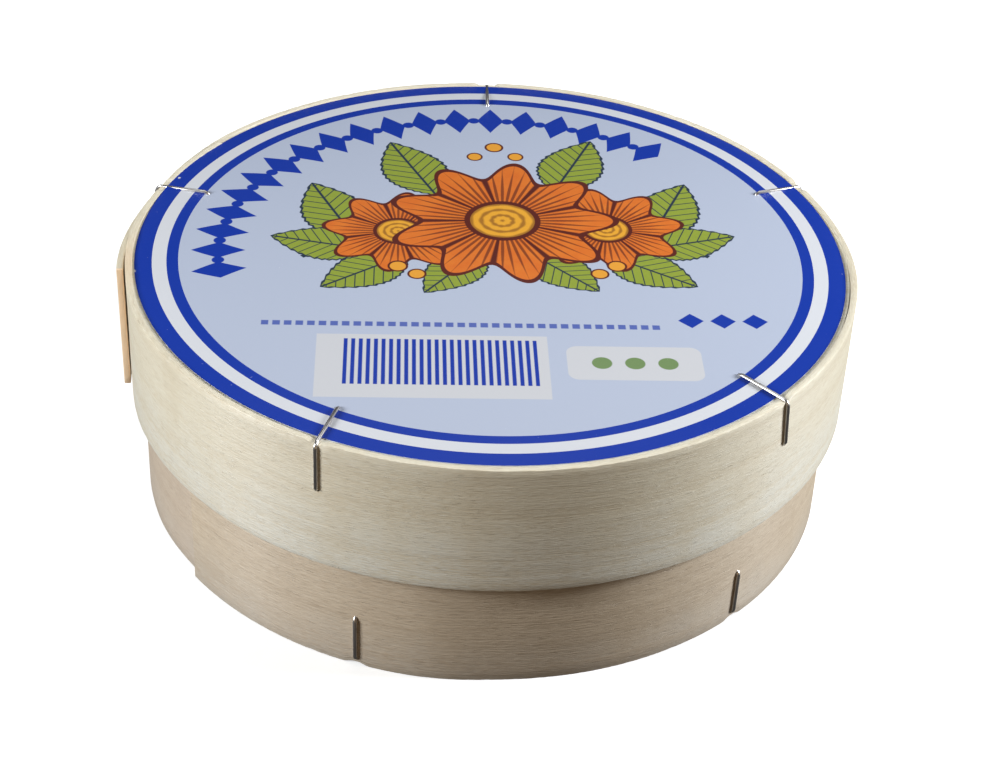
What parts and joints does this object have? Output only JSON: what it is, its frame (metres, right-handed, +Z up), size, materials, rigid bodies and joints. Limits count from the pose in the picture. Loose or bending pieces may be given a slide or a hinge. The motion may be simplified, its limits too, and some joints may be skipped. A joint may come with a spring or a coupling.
{
  "type": "round wooden cheese box",
  "caption": "Shut round veneer box for a small soft cheese: a stapled lid with a round printed paper label over a stapled base.",
  "frame": {"origin": "middle of the box's outline at the height of the surface it stands on", "axes": "+Z up through the label; the side that the picture shows faces -Y; +X to the right of it"},
  "size_m": [0.1009, 0.1009, 0.0358],
  "materials": {
    "label_paper": "satin coated paper, printed",
    "lid_wood": "raw pale poplar veneer",
    "base_wood": "raw tan poplar veneer",
    "staple_steel": "bright drawn wire"
  },
  "bodies": {
    "root": {"label": "label_paper", "lid_top": "lid_wood", "lid_hoop": "lid_wood", "lid_staple_1": "staple_steel", "lid_staple_2": "staple_steel", "lid_staple_3": "staple_steel", "lid_staple_4": "staple_steel", "lid_staple_5": "staple_steel", "core": "base_wood", "base_bottom": "base_wood", "base_hoop": "base_wood", "base_staple_1": "staple_steel", "base_staple_2": "staple_steel", "base_staple_3": "staple_steel", "base_staple_4": "staple_steel", "base_staple_5": "staple_steel"}
  },
  "joints": []
}
